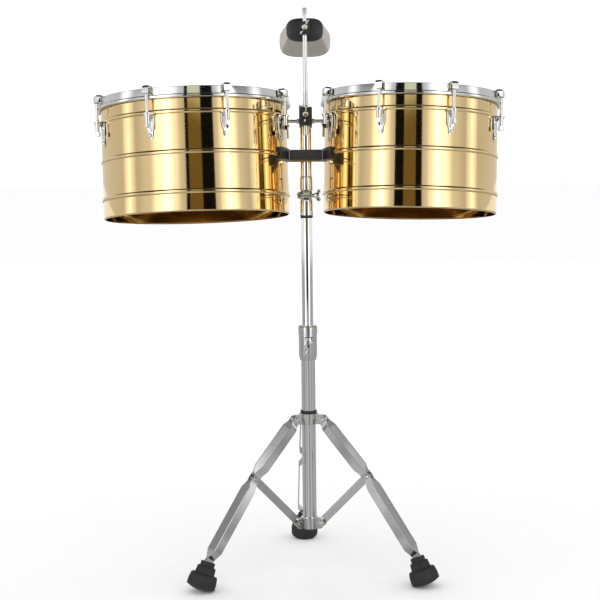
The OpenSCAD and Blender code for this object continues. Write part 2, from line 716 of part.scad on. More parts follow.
module leg_strips(i) {
  lap = 0.1;              // the lapped lengths are thinned by this much, so no faces coincide
  eye_r = strip_w / 2 + 0.4;
  pinch = pinch_in + strip_t / 2;
  spread = spread_in + strip_t / 2;
  ankle = foot_in + strip_t / 2;
  upper = [[0, pinch], [9, pinch], [21, spread], [upper_len - 26, spread],
    [upper_len - 12, pinch], [upper_len, pinch]];
  lower = [[0, pinch], [11, pinch], [25, spread], [foot_start - 24, spread],
    [foot_start - 6, ankle], [foot_start + strip_in, ankle]];
  color("gainsboro") for (s = [-1, 1]) difference() {
    union() {
      upper_frame(i) linear_extrude(strip_w, center = true)
        polygon([for (p = band(upper, strip_t)) [p.x, s * p.y]]);
      lower_frame(i) linear_extrude(strip_w, center = true)
        polygon([for (p = band(lower, strip_t - lap)) [p.x, s * p.y]]);
      upper_frame(i) translate([0, s * pinch, 0]) pin_y(eye_r, strip_t - 2 * lap);
      lower_frame(i) translate([0, s * pinch, 0]) pin_y(eye_r, strip_t - 2 * lap);
    }
    upper_frame(i) pin_y(pin_r + FIT, 40);
    lower_frame(i) pin_y(pin_r + FIT, 40);
    lower_frame(i) translate([foot_start + foot_pin_in, 0, 0]) pin_y(foot_pin_r + FIT, 20);
  }
}
// the middle rivets end beside the brace, which moves freely between them
module leg_rivets(i) {
  face = pinch_in + strip_t;
  stub = face - brace_t / 2 - brace_play;
  color("gainsboro") {
    for (s = [-1, 1]) lower_frame(i) translate([0, s * (face + JOIN - stub / 2), 0]) {
      pin_y(pin_r, stub + JOIN);
      rotate([-s * 90, 0, 0]) translate([0, 0, stub / 2]) cylinder(r1 = 5, r2 = 3.4, h = 1.6);
    }
    lower_frame(i) translate([foot_start + foot_pin_in, 0, 0])
      pin_y(foot_pin_r, 2 * (foot_in + strip_t) - 0.1);
  }
}
module leg_liners(i) {
  inner = brace_t / 2 + brace_play;
  t = pinch_in - inner - 0.05;
  color("#151515") for (s = [-1, 1]) lower_frame(i) translate([0, s * (inner + t / 2), 0]) difference() {
    pin_y(strip_w / 2 - 0.4, t);
    pin_y(pin_r + FIT, t + 2);
  }
}
module foot_frame(i) {
  at_leg(i) translate([foot_reach, 0, dome_r - foot_press]) rotate([0, -foot_tilt, 0])
    rotate([0, 180, 0]) translate([0, 0, dome_r - foot_len]) children();
}
module leg_foot(i) {
  edge = foot_len - dome_r + sqrt(dome_r * dome_r - foot_r * foot_r);
  profile = concat([[0, 0], [13.7, 0], [14.5, 1], [14.5, 9], [17.5, 9.6], [19, 12], [20, 24],
    [25, 25], [27.4, 28], [foot_r, 38]],
    arc(0, foot_len - dome_r, dome_r, atan2(edge - foot_len + dome_r, foot_r), 90, 10));
  slot_t = 2 * (foot_in + strip_t) + 0.2;
  color("#1b1b1b") difference() {
    foot_frame(i) rotate_extrude($fn = 72) polygon(profile);
    lower_frame(i) translate([foot_start - 10, -slot_t / 2, -strip_w / 2 - 0.1])
      cube([strip_in + 12, slot_t, strip_w + 0.2]);
    translate([-500, -500, -100]) cube([1000, 1000, 100]);
  }
}

module brace(i) {
  color("gainsboro") at_leg(i) translate([hub_pivot_r, 0, hub_pivot_z]) rotate([0, -brace_slope, 0])
    difference() {
      union() {
        translate([0, -brace_t / 2, -brace_w / 2]) cube([brace_len, brace_t, brace_w]);
        pin_y(brace_w / 2 + 0.2, brace_t);
        translate([brace_len, 0, 0]) pin_y(brace_w / 2 + 0.2, brace_t);
      }
      pin_y(pin_r + FIT, 20);
      translate([brace_len, 0, 0]) pin_y(pin_r + FIT, 20);
    }
}

module spreader_hub() {
  fork_in = brace_t / 2 + GAP;
  color("silver") difference() {
    union() {
      at_post() translate([0, 0, hub_z0]) cylinder(r = hub_r, h = hub_z1 - hub_z0);
      for (i = [0:2], s = [-1, 1]) at_leg(i) {
        y = s > 0 ? fork_in : -fork_in - fork_t;
        translate([13, y, hub_z0 + 1]) cube([hub_pivot_r - 13, fork_t, hub_z1 - hub_z0 - 2]);
        translate([hub_pivot_r, y + fork_t / 2, hub_pivot_z]) pin_y(9, fork_t);
      }
    }
    at_post() translate([0, 0, hub_z0 - 1]) cylinder(r = tube_r + JOIN, h = 40);
    for (i = [0:2]) at_leg(i) translate([hub_pivot_r, 0, hub_pivot_z]) {
      pin_y(pin_r + JOIN, 40);
      translate([-brace_w / 2 - 1.4, -fork_in, -30]) cube([40, 2 * fork_in, 60]);
    }
  }
}
module hub_pins() {
  color("gainsboro") for (i = [0:2]) at_leg(i) translate([hub_pivot_r, 0, hub_pivot_z])
    rivet(2 * (brace_t / 2 + GAP + fork_t) + 0.1, 5);
}

module leg_left_strips() { leg_strips(0); }
module leg_left_rivets() { leg_rivets(0); }
module leg_left_liners() { leg_liners(0); }
module leg_left_foot() { leg_foot(0); }
module leg_right_strips() { leg_strips(1); }
module leg_right_rivets() { leg_rivets(1); }
module leg_right_liners() { leg_liners(1); }
module leg_right_foot() { leg_foot(1); }
module leg_back_strips() { leg_strips(2); }
module leg_back_rivets() { leg_rivets(2); }
module leg_back_liners() { leg_liners(2); }
module leg_back_foot() { leg_foot(2); }
module brace_left() { brace(0); }
module brace_right() { brace(1); }
module brace_back() { brace(2); }

lower_tube();
tube_plug();
spreader_hub();
hub_pins();
height_clamp();
clamp_bushing();
clamp_key();
clamp_wing_screw();
leg_collar();
collar_ring();
collar_pins();
leg_left_strips();
leg_left_rivets();
leg_left_liners();
leg_left_foot();
leg_right_strips();
leg_right_rivets();
leg_right_liners();
leg_right_foot();
leg_back_strips();
leg_back_rivets();
leg_back_liners();
leg_back_foot();
brace_left();
brace_right();
brace_back();
height_post();
tilter_fork();
tilter_bolt();
tilter_ring();
tilter_wing_screw();
tilter_block();
mast_tube();
crossbar();
crossbar_strap();
crossbar_saddle();
carrier_bolts();
shell_brackets();
rod_block();
block_bolt();
stabiliser_rods();
block_wing_screw();
shell_left();
shell_right();
head_left();
head_right();
flesh_hoops();
hoop_left();
hoop_right();
lugs_left();
lugs_right();
lug_screws();
tuning_hooks();
tuning_nuts();
bell_rod();
rod_collar();
cowbell_body();
cowbell_end();
bell_clamp();
bell_wing_screw();
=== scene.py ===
"""Timbales on a folding tripod: the finish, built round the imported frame. Lengths are in metres."""
import bmesh
import bpy
import json
import math
import numpy as np
from mathutils import Matrix, Vector

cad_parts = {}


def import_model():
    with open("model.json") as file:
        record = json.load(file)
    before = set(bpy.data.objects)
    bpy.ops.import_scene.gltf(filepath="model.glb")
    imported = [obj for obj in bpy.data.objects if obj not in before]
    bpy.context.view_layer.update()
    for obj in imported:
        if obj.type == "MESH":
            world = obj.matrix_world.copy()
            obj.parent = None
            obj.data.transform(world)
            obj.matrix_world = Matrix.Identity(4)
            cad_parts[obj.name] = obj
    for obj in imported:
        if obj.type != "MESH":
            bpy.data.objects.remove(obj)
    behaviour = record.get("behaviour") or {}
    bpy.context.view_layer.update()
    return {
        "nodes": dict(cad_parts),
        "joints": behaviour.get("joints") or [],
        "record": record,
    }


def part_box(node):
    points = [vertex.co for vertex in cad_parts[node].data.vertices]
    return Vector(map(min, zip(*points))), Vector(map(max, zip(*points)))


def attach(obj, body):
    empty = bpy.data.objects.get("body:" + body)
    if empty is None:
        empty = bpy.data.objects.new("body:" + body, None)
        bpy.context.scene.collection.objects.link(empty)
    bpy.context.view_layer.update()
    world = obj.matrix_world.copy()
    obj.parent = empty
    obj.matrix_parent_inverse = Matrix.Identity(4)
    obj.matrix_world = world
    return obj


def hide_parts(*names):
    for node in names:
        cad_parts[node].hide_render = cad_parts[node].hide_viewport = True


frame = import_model()
NODES = frame["nodes"]
JOINTS = {joint["name"]: joint for joint in frame["joints"]}
BODY_OF = {node: body for body, group in frame["record"]["behaviour"]["bodies"].items()
           for node in group}
SIDES = {"left": -1, "right": 1}
LEGS = ("left", "right", "back")
MM = 0.001

# drums
HOOKS = 8
LUG_TURN = math.radians(22.5)
BEAD_OUT = 2.4 * MM
BEAD_HALF = 4.5 * MM
BEAD_HEIGHTS = (38.8 * MM, 115.7 * MM, 193.4 * MM)
WALL = 1.2 * MM
EDGE_CURL = 3 * MM
HOOP_HEIGHT = 21.5 * MM
HOOP_INSIDE = 5.6 * MM
HOOP_OUTSIDE = 8 * MM
COLLAR_HEIGHT = 7 * MM
COLLAR_OUTSIDE = 9.6 * MM
COLLAR_CORNER = 2 * MM
LEDGE_DROP = 48.7 * MM
LEDGE_THICK = 2.4 * MM
LUG_TOP = BEAD_HEIGHTS[2] - BEAD_HALF - 0.4 * MM
LUG_HEIGHT = 47 * MM
RIB_OUT = 5.5 * MM
ROD_OUT = 14 * MM

# cowbell
BELL_END = (73 * MM, 47 * MM)
BELL_MOUTH = (107 * MM, 66 * MM)
BELL_SQUARE = 3.2
BELL_WALL = 1.8 * MM
ROD_TIP = 27 * MM
TIP_RADIUS = 4.2 * MM

# feet: the lean in degrees, the rest in millimetres
FOOT_LEAN = 22
FOOT_RADIUS = 29
FOOT_LENGTH = 58
FOOT_DOME = 60

ROUND_STEPS = 288
POLE = 0.01 * MM  # the radius kept at the axis of a turned part

# studio
PANEL_BROWN = (0.16, 0.105, 0.03)
PANEL_PALE = (0.69, 0.69, 0.48)
# (share of a turn, glow): 0 is the stand's left, 0.25 its front, 0.5 its right, 0.75 its back
GROUND_SECTORS = [(0.0, 0.42), (0.07, 0.30), (0.12, 0.55), (0.17, 0.36), (0.215, 0.62), (0.25, 0.40),
                  (0.285, 0.26), (0.33, 0.58), (0.39, 0.34), (0.44, 0.50), (0.5, 0.40), (0.75, 0.5),
                  (1.0, 0.42)]
WALL_SECTORS = [(0.0, 0.95), (0.011, 1.25), (0.03, 0.8), (0.045, 0.47), (0.09, 0.62), (0.41, 0.62),
                (0.455, 0.47), (0.47, 0.8), (0.489, 1.25), (0.5, 0.95), (0.52, 0.5), (0.64, 0.55),
                (0.75, 0.7), (0.86, 0.55), (0.98, 0.5), (1.0, 0.95)]
# (height of the direction, glow): 0 is level, 1 is straight up
WALL_HEIGHTS = [(0.0, 1.0), (0.3, 1.0), (0.45, 0.3), (0.7, 0.05), (1.0, 0.03)]
WALL_POWER = 1.2
WHITE_POWER = 1.12
# (share of the board's width or height, glow)
SOFTBOX_LEFT = [(0.0, 0.33), (0.45, 0.7), (0.64, 1.0), (0.8, 0.5), (0.93, 0.28), (1.0, 0.22)]
SOFTBOX_RIGHT = [(0.0, 0.22), (0.07, 0.28), (0.2, 0.5), (0.36, 1.0), (0.55, 0.7), (1.0, 0.33)]
PANEL = [(0.0, PANEL_BROWN), (0.55, PANEL_BROWN), (0.62, PANEL_PALE), (1.0, PANEL_PALE)]
SOFTBOX_SIZE = (1.7, 1.9)
SOFTBOX_POWER = 2.4

# camera: turns in radians, places in metres, the lens in millimetres on its sensor
YAW, PITCH, ROLL = -0.0058, 0.1271, -0.0111
DISTANCE, HEIGHT, ASIDE = 3.295, 0.986, 0.0039
SENSOR, LENS = 36, 98.13


# ---------- places ----------
def placed(origin, across, away, up):
    """The matrix of a local frame with these three unit directions."""
    columns = [Vector(across), Vector(away), Vector(up)]
    return Matrix.Translation(origin) @ Matrix(columns).transposed().to_4x4()


def local_box(node, place):
    """Lowest and highest corner of a CAD node in a local frame."""
    inverse = place.inverted()
    points = np.array([inverse @ v.co for v in NODES[node].data.vertices])
    return Vector(points.min(0)), Vector(points.max(0))


def middle(node):
    """The middle of a CAD node's box."""
    low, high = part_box(node)
    return (low + high) / 2


def disc_axis(node):
    """The upward axis of a flat round CAD node."""
    points = np.array([v.co for v in NODES[node].data.vertices])
    axis = np.linalg.svd(points - points.mean(0), full_matrices=False)[2][2]
    return Vector(axis if axis[2] > 0 else -axis)


PIVOT = Vector(JOINTS["drum_tilt"]["pos_m"])
MAST_UP = Vector(JOINTS["rod_height"]["axis"]).normalized()
MAST_AWAY = MAST_UP.cross(Vector((1, 0, 0))).normalized()
MAST = placed(PIVOT, (1, 0, 0), MAST_AWAY, MAST_UP)


def drum_place(side):
    """The drum's frame: its origin is in the middle of the shell's open lower edge."""
    up = disc_axis("head_" + side)
    away = up.cross(Vector((1, 0, 0))).normalized()
    place = placed(middle("head_" + side), away.cross(up), away, up)
    low = local_box("shell_" + side, place)[0].z
    return place @ Matrix.Translation((0, 0, low))


DRUM = {side: drum_place(side) for side in SIDES}
RADIUS = {side: local_box("shell_" + side, DRUM[side])[1].x - BEAD_OUT for side in SIDES}
SHELL_HEIGHT = local_box("shell_left", DRUM["left"])[1].z
HOOP_TOP = local_box("hoop_left", DRUM["left"])[1].z
LEDGE = HOOP_TOP - LEDGE_DROP


def hook_place(side, i):
    """At hook i: X runs round the shell, Y points inwards, Z is up, the origin is on the shell."""
    turn = i * 2 * math.pi / HOOKS - SIDES[side] * LUG_TURN
    return DRUM[side] @ Matrix.Rotation(turn, 4, "Z") @ Matrix.Translation((0, -RADIUS[side], 0))


# ---------- mesh helpers ----------
def arc(x, y, radius, start, end, steps):
    """Points of a circular arc, with the angles in degrees."""
    angles = [math.radians(start + (end - start) * i / steps) for i in range(steps + 1)]
    return [(x + radius * math.cos(a), y + radius * math.sin(a)) for a in angles]


def revolved(profile, steps=ROUND_STEPS):
    """A closed profile of (radius, height) points, turned about Z."""
    count = len(profile)
    verts = []
    for i in range(steps):
        turn = 2 * math.pi * i / steps
        verts += [(r * math.cos(turn), r * math.sin(turn), z) for r, z in profile]
    faces = []
    for i in range(steps):
        here, there = i * count, (i + 1) % steps * count
        for j in range(count):
            k = (j + 1) % count
            faces.append((here + j, there + j, there + k, here + k))
    return verts, faces


def lofted(loops):
    """Skin over closed loops of equal length, with both ends closed."""
    count = len(loops[0])
    verts = [point for loop in loops for point in loop]
    faces = [tuple(reversed(range(count)))]
    for i in range(len(loops) - 1):
        for j in range(count):
            k = (j + 1) % count
            faces.append((i * count + j, i * count + k, (i + 1) * count + k, (i + 1) * count + j))
    last = (len(loops) - 1) * count
    faces.append(tuple(range(last, last + count)))
    return verts, faces


def prism(outline, low, high):
    """An outline of (x, y) points raised from low to high."""
    return lofted([[(x, y, z) for x, y in outline] for z in (low, high)])


def moved(part, place):
    """A part carried into a local frame."""
    verts, faces = part
    return [tuple(place @ Vector(v)) for v in verts], faces


def joined(parts):
    """Several parts as one."""
    verts, faces = [], []
    for part_verts, part_faces in parts:
        start = len(verts)
        verts += part_verts
        faces += [tuple(start + i for i in face) for face in part_faces]
    return verts, faces


def piece(name, part, node, replaced=(), smooth_angle=40, bevel=0, floor=False):
    """A mesh piece that rides on a node's body, takes its finish and stands for the replaced nodes."""
    mesh = bpy.data.meshes.new(name)
    mesh.from_pydata(part[0], [], part[1])
    tidy = bmesh.new()
    tidy.from_mesh(mesh)
    bmesh.ops.remove_doubles(tidy, verts=tidy.verts, dist=1e-6)
    if floor:
        for vert in tidy.verts:
            vert.co.z = max(vert.co.z, 0)
    bmesh.ops.recalc_face_normals(tidy, faces=tidy.faces)
    tidy.to_mesh(mesh)
    tidy.free()
    return finished(mesh, name, node, replaced, smooth_angle, bevel)


def finished(mesh, name, node, replaced, smooth_angle, bevel):
    """Gives a mesh its finish, rounded edges and body."""
    for polygon in mesh.polygons:
        polygon.use_smooth = True
    mesh.set_sharp_from_angle(angle=math.radians(smooth_angle))
    slot = NODES[node].data.materials[0].name.split(".")[0]
    mesh.materials.clear()
    mesh.materials.append(MATERIALS[slot])
    obj = bpy.data.objects.new(name, mesh)
    bpy.context.scene.collection.objects.link(obj)
    if bevel:
        rounding = obj.modifiers.new("rounding", "BEVEL")
        rounding.width = bevel
        rounding.segments = 3
        rounding.limit_method = "ANGLE"
        rounding.angle_limit = math.radians(32)
        rounding.harden_normals = True
        rounding.use_clamp_overlap = True
    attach(obj, BODY_OF[node])
    if replaced:
        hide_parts(*replaced)
    return obj


# ---------- materials ----------
def shader(name, base, metallic, roughness):
    """A new material with a Principled shader: (node tree, shader node)."""
    material = bpy.data.materials.new("finish_" + name)
    material.use_nodes = True
    tree = material.node_tree
    principled = tree.nodes["Principled BSDF"]
    principled.inputs["Base Color"].default_value = (*base, 1)
    principled.inputs["Metallic"].default_value = metallic
    principled.inputs["Roughness"].default_value = roughness
    return material, tree, principled


def noise(tree, scale, detail=3, stretch=(1, 1, 1)):
    """A noise in object space. Stretch divides its grain along each axis."""
    place = tree.nodes.new("ShaderNodeTexCoord")
    mapping = tree.nodes.new("ShaderNodeMapping")
    mapping.inputs["Scale"].default_value = stretch
    grain = tree.nodes.new("ShaderNodeTexNoise")
    grain.inputs["Scale"].default_value = scale
    grain.inputs["Detail"].default_value = detail
    tree.links.new(place.outputs["Object"], mapping.inputs["Vector"])
    tree.links.new(mapping.outputs["Vector"], grain.inputs["Vector"])
    return grain.outputs["Fac"]


def spread(tree, value, low, high):
    """A 0 to 1 value stretched to low to high."""
    ranged = tree.nodes.new("ShaderNodeMapRange")
    ranged.inputs["From Min"].default_value = 0.3
    ranged.inputs["From Max"].default_value = 0.7
    ranged.inputs["To Min"].default_value = low
    ranged.inputs["To Max"].default_value = high
    tree.links.new(value, ranged.inputs["Value"])
    return ranged.outputs["Result"]


def tinted(tree, value, first, second):
    """A colour between two, by a 0 to 1 value."""
    ramp = tree.nodes.new("ShaderNodeValToRGB")
    ramp.color_ramp.elements[0].position = 0.3
    ramp.color_ramp.elements[1].position = 0.7
    ramp.color_ramp.elements[0].color = (*first, 1)
    ramp.color_ramp.elements[1].color = (*second, 1)
    tree.links.new(value, ramp.inputs["Fac"])
    return ramp.outputs["Color"]


def bumped(tree, value, strength, distance, before=None):
    """A normal raised by a value, on top of the one before."""
    bump = tree.nodes.new("ShaderNodeBump")
    bump.inputs["Strength"].default_value = strength
    bump.inputs["Distance"].default_value = distance
    tree.links.new(value, bump.inputs["Height"])
    if before:
        tree.links.new(before, bump.inputs["Normal"])
    return bump.outputs["Normal"]


def metal(name, base, second, rough, wave=0.0, stretch=(1, 1, 9), groove=0.03):
    """Polished or brushed metal with faint marks and an uneven gleam."""
    material, tree, principled = shader(name, base, 1, rough[0])
    cloud = noise(tree, 9, 2)
    marks = noise(tree, 140, 4, stretch)
    tree.links.new(tinted(tree, cloud, base, second), principled.inputs["Base Color"])
    tree.links.new(spread(tree, marks, *rough), principled.inputs["Roughness"])
    normal = bumped(tree, marks, groove, 0.00005)
    if wave:
        normal = bumped(tree, noise(tree, 14, 1), wave, 0.001, normal)
    tree.links.new(normal, principled.inputs["Normal"])
    return material


def coated(name, base, second, rough, grain_scale, grain_depth, coat=0.0):
    """Paint, plastic or rubber with a fine pebbled surface."""
    material, tree, principled = shader(name, base, 0, rough[0])
    grain = noise(tree, grain_scale, 3)
    cloud = noise(tree, 25, 3)
    tree.links.new(tinted(tree, cloud, base, second), principled.inputs["Base Color"])
    tree.links.new(spread(tree, cloud, *rough), principled.inputs["Roughness"])
    tree.links.new(bumped(tree, grain, 0.35, grain_depth), principled.inputs["Normal"])
    principled.inputs["Coat Weight"].default_value = coat
    principled.inputs["Coat Roughness"].default_value = 0.15
    return material


def make_materials():
    return {
        "gold": metal("gold", (0.93, 0.71, 0.38), (0.90, 0.67, 0.34), (0.04, 0.08), 0.01),
        "chrome": metal("chrome", (0.84, 0.84, 0.84), (0.78, 0.78, 0.78), (0.04, 0.09)),
        "steel": metal("steel", (0.74, 0.73, 0.72), (0.66, 0.65, 0.64), (0.12, 0.22)),
        "black_paint": coated("black_paint", (0.018, 0.018, 0.019), (0.028, 0.027, 0.027),
                              (0.32, 0.48), 900, 0.0001, 0.15),
        "black_plastic": coated("black_plastic", (0.014, 0.014, 0.015), (0.022, 0.022, 0.022),
                                (0.42, 0.6), 1400, 0.00008),
        "rubber": coated("rubber", (0.012, 0.012, 0.012), (0.025, 0.024, 0.023),
                         (0.55, 0.8), 700, 0.00015),
        "film": coated("film", (0.86, 0.85, 0.82), (0.80, 0.79, 0.76), (0.38, 0.55), 420, 0.0001),
        "bronze": metal("bronze", (0.50, 0.45, 0.38), (0.44, 0.39, 0.33), (0.22, 0.36), 0,
                        (3, 0.06, 3), 0.25),
    }


MATERIALS = make_materials()


# ---------- drums ----------
def bead_points(offset):
    """The rolled beads' outline, as (out, up) points from the lowest bead to the highest."""
    steps = 20
    points = []
    for height in BEAD_HEIGHTS:
        for i in range(steps + 1):
            a = math.pi * i / steps
            out = BEAD_OUT * math.sin(a) ** 1.2 + offset
            points.append((out, height - BEAD_HALF * math.cos(a)))
    return points


def shell(side):
    """The spun shell, open below, with its beads and curled lower edge."""
    outer = arc(-EDGE_CURL, EDGE_CURL, EDGE_CURL, -90, 0, 10) + bead_points(0)
    inner = arc(-EDGE_CURL, EDGE_CURL, EDGE_CURL - WALL, -90, 0, 10) + bead_points(-WALL)
    top = [(0, SHELL_HEIGHT - 0.5 * MM), (-0.5 * WALL, SHELL_HEIGHT), (-WALL, SHELL_HEIGHT - 0.5 * MM)]
    profile = [(RADIUS[side] + x, z) for x, z in outer + top + inner[::-1]]
    piece("spun_shell_" + side, moved(revolved(profile), DRUM[side]), "shell_" + side,
          ["shell_" + side], 30)


def hoop(side):
    """The strap hoop, which leans slightly inwards above its round collar."""
    low = HOOP_TOP - HOOP_HEIGHT
    step = low + COLLAR_HEIGHT
    edge = 0.8 * MM
    lean = 1.2 * MM
    foot_in = 5.1 * MM
    shelf_in = 1.2 * MM
    shelf = step + 1.8 * MM
    corner = COLLAR_CORNER
    profile = [(foot_in, low)]
    profile += arc(COLLAR_OUTSIDE - corner, low + corner, corner, -90, 0, 8)
    profile += arc(COLLAR_OUTSIDE - corner, step - 2.2 * MM, corner, 0, 70, 8)
    profile += [(HOOP_OUTSIDE, step)]
    profile += arc(HOOP_OUTSIDE - lean - edge, HOOP_TOP - edge, edge, 0, 90, 6)
    profile += arc(HOOP_INSIDE + edge, HOOP_TOP - edge, edge, 90, 180, 6)
    profile += [(HOOP_INSIDE, shelf), (shelf_in, shelf), (shelf_in, step), (foot_in, step)]
    profile = [(RADIUS[side] + x, z) for x, z in profile]
    piece("rolled_hoop_" + side, moved(revolved(profile), DRUM[side]), "hoop_" + side,
          ["hoop_" + side], 30)


def head(side):
    """The head, drawn over the shell's top edge and down to its skirt."""
    film = 0.4 * MM
    edge = RADIUS[side] + 0.7 * MM
    top = SHELL_HEIGHT + 0.5 * MM
    skirt = HOOP_TOP - HOOP_HEIGHT + 4 * MM
    bend = 1.2 * MM
    profile = [(POLE, top)] + arc(edge - bend, top - bend, bend, 90, 0, 5) + [(edge, skirt)]
    profile += [(edge - film, skirt)] + arc(edge - bend, top - bend, bend - film, 0, 90, 5)
    profile += [(POLE, top - film)]
    piece("sprayed_head_" + side, moved(revolved(profile), DRUM[side]), "head_" + side,
          ["head_" + side], 30)


def shield():
    """The lug's pressed shield: a channel with two raised flanks and a round tip."""
    rows, columns = 26, 20
    rim = 1.3 * MM
    sink = 0.05 * MM
    # (share of the height from the top, half width in millimetres)
    shape = [(0, 8.6), (0.12, 9.3), (0.3, 9.5), (0.42, 9.0), (0.55, 7.6), (0.66, 5.9), (0.74, 5.1),
             (0.86, 5.0), (0.93, 4.2), (0.975, 2.6), (1, 0.5)]
    loops = []
    for i in range(rows + 1):
        t = i / rows
        half = float(np.interp(t, *zip(*shape))) * MM
        swell = np.interp(t, (0, 0.05, 0.5, 0.75, 0.95, 1), (2.6, 3.6, 3.4, 1.0, 0.6, 0.1))
        swell = float(swell) * MM
        hollow = float(np.interp(t, (0, 0.6, 0.75), (0.8, 0.7, 0)))
        loop = [(-half, -sink, -t * LUG_HEIGHT)]
        for j in range(columns + 1):
            a = math.pi * j / columns
            depth = rim + swell * math.sin(a) ** 0.5 * (1 - hollow * math.sin(a) ** 4)
            loop.append((-half * math.cos(a), -depth, -t * LUG_HEIGHT))
        loop.append((half, -sink, -t * LUG_HEIGHT))
        loops.append(loop)
    return lofted(loops)


def ledge():
    """The lug's shelf, which the tuning rod passes through."""
    half, tip = 10.5 * MM, 7.5 * MM
    back, shoulder = BEAD_OUT + 0.4 * MM, 6.5 * MM
    outline = [(-half, -back), (-half, -shoulder)]
    outline += arc(0, -ROD_OUT, tip, 200, 340, 16)
    outline += [(half, -shoulder), (half, -back)]
    return prism(outline, -LEDGE_THICK, 0)


def rib():
    """One of the two webs that carry the shelf, drawn as (out, up) and raised along X."""
    back, low = BEAD_OUT + 0.5 * MM, -LEDGE_THICK - 0.8 * MM
    root, reach, half = 2 * MM, 8 * MM, 1 * MM
    bottom, top = -10 * MM, -0.5 * MM
    outline = [(root, bottom), (4.5 * MM, bottom), (reach, -5 * MM), (reach, top), (back, top),
               (back, low), (root, low)]
    return lofted([[(x, -out, up) for out, up in outline] for x in (-half, half)])


def lugs(side):
    """All of a drum's shields with their shelves and ribs."""
    parts = []
    for i in range(HOOKS):
        place = hook_place(side, i)
        shelf = place @ Matrix.Translation((0, 0, LEDGE))
        parts.append(moved(shield(), place @ Matrix.Translation((0, 0, LUG_TOP))))
        parts.append(moved(ledge(), shelf))
        for x in (-RIB_OUT, RIB_OUT):
            parts.append(moved(rib(), shelf @ Matrix.Translation((x, 0, 0))))
    piece("pressed_lugs_" + side, joined(parts), "lugs_" + side, ["lugs_" + side], 35, 0.35 * MM)


# ---------- wing screws ----------
def wing_outline(span, reach):
    """One wing, as (out, up) points from the hub round the lobe and back."""
    hub_top = reach * 0.55
    lobe = arc(span - reach * 0.32, reach * 0.62, reach * 0.34, -60, 130, 16)
    return [(2 * MM, 1 * MM), (span * 0.55, 2 * MM)] + lobe + [(2 * MM, hub_top)]


def wing(span, reach):
    """A cast wing with a full rounded rim."""
    outline = wing_outline(span, reach)
    centre = Vector((span * 0.62, reach * 0.5))
    thick = 1.7 * MM
    loops = []
    for a in (-90, -60, -30, 0, 30, 60, 90):
        inset = 1 - 0.16 * (1 - math.cos(math.radians(a)))
        depth = thick * math.sin(math.radians(a))
        loops.append([(centre.x + (x - centre.x) * inset, depth, centre.y + (z - centre.y) * inset)
                      for x, z in outline])
    return lofted(loops)


def wing_screw(shaft, shaft_r, span, reach):
    """Shaft down from the origin, a round hub and two wings that open upwards."""
    hub_top = reach * 0.55
    thread = []
    pitch = 1 * MM
    for i in range(int((shaft - 1 * MM) / pitch)):
        thread += [(shaft_r, -shaft + i * pitch), (shaft_r - 0.35 * MM, -shaft + (i + 0.5) * pitch)]
    hub = [(5.6 * MM, 0), (6 * MM, 0.5 * MM)] + arc(4 * MM, hub_top, 2 * MM, 0, 90, 6)
    profile = [(POLE, -shaft)] + thread + [(shaft_r, 0)] + hub + [(POLE, hub_top + 2 * MM)]
    parts = [revolved(profile, 48)]
    for turn in (0, math.pi):
        parts.append(moved(wing(span, reach), Matrix.Rotation(turn, 4, "Z")))
    return joined(parts)


def wing_screws():
    """name: (joint, across, outward, spin in degrees, shaft, shaft radius, span, reach)"""
    front = -MAST_AWAY
    sets = {
        "clamp": ("clamp_screw_turn", (1, 0, 0), (0, -1, 0), 58, 11, 4, 17, 13),
        "block": ("block_screw_turn", (1, 0, 0), front, 84, 7, 4, 17, 13),
        "bell": ("bell_screw_turn", (1, 0, 0), front, 60, 4.6, 3, 17, 13),
        "tilter": ("tilter_screw_turn", (0, 0, -1), (1, 0, 0), 0, 17, 4, 12, 12),
    }
    for name, (joint, across, outward, spin, shaft, shaft_r, span, reach) in sets.items():
        node = name + "_wing_screw"
        across, outward = Vector(across), Vector(outward)
        place = placed(Vector(JOINTS[joint]["pos_m"]), across, outward.cross(across), outward)
        low = local_box(node, place)[0].z
        place = place @ Matrix.Translation((0, 0, low + shaft * MM))
        place = place @ Matrix.Rotation(math.radians(spin), 4, "Z")
        part = wing_screw(shaft * MM, shaft_r * MM, span * MM, reach * MM)
        piece("cast_" + node, moved(part, place), node, [node], 40)


# ---------- cowbell and its rod ----------
def squarish(width, height, y, z):
    """A rounded outline across the bell."""
    points = []
    for i in range(96):
        a = 2 * math.pi * i / 96
        c, s = math.cos(a), math.sin(a)
        points.append((width / 2 * math.copysign(abs(c) ** (2 / BELL_SQUARE), c), y,
                       z + height / 2 * math.copysign(abs(s) ** (2 / BELL_SQUARE), s)))
    return points


def bell_loop(share, inset, length, front, height):
    """The bell's outline at a share of its length from the closed end."""
    width = BELL_END[0] + (BELL_MOUTH[0] - BELL_END[0]) * share - 2 * inset
    tall = BELL_END[1] + (BELL_MOUTH[1] - BELL_END[1]) * share - 2 * inset
    return squarish(width, tall, front + share * length, height)


